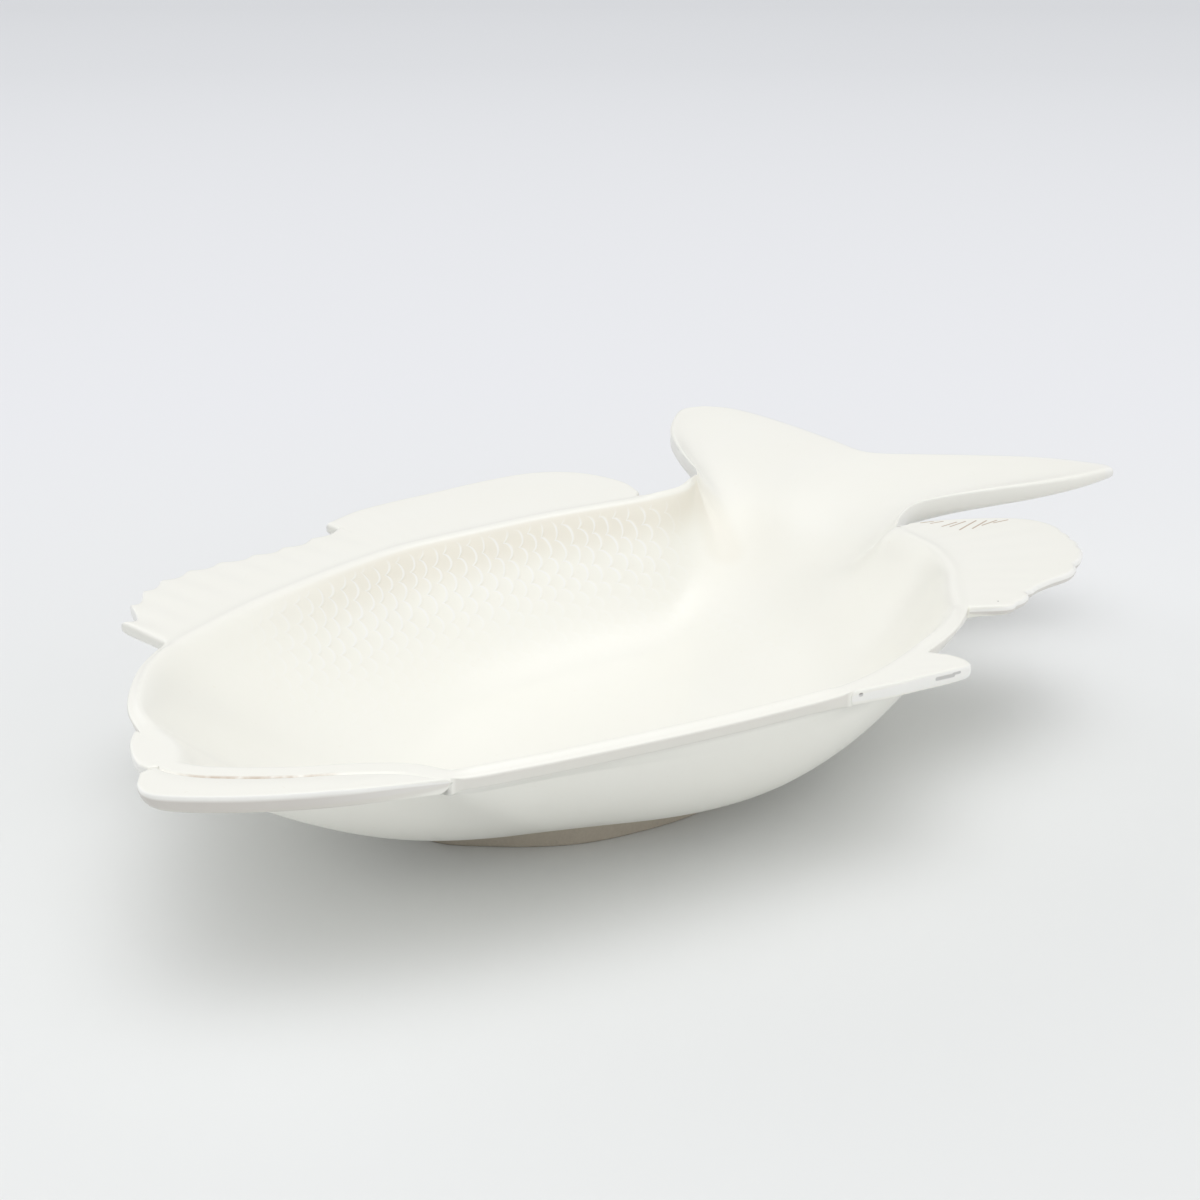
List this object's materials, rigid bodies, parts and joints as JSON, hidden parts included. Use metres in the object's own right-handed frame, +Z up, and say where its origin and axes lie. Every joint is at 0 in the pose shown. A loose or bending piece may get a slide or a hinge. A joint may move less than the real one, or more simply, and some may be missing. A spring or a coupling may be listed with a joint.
{
  "type": "fish shaped platter",
  "caption": "Deep fish shaped serving platter in creamy white glazed ceramic, with fins and a forked tail standing out level from its rim and a bare foot ring.",
  "frame": {"origin": "on the table under the middle of the overall length and width", "axes": "+X from the head to the tail, +Y towards the back fins, +Z up out of the dish"},
  "size_m": [0.5003, 0.2922, 0.0757],
  "materials": {
    "glaze": "creamy white glossy glaze with fine brown breaks on the thinnest edges",
    "bare_clay": "bare fired clay, matt"
  },
  "bodies": {
    "root": {"basin": "glaze", "foot_ring": "bare_clay", "lower_jaw": "glaze", "upper_lip": "glaze", "spiny_dorsal_fin": "glaze", "soft_dorsal_fin": "glaze", "tail_fin": "glaze", "anal_fin": "glaze", "pelvic_fin": "glaze"}
  },
  "joints": []
}
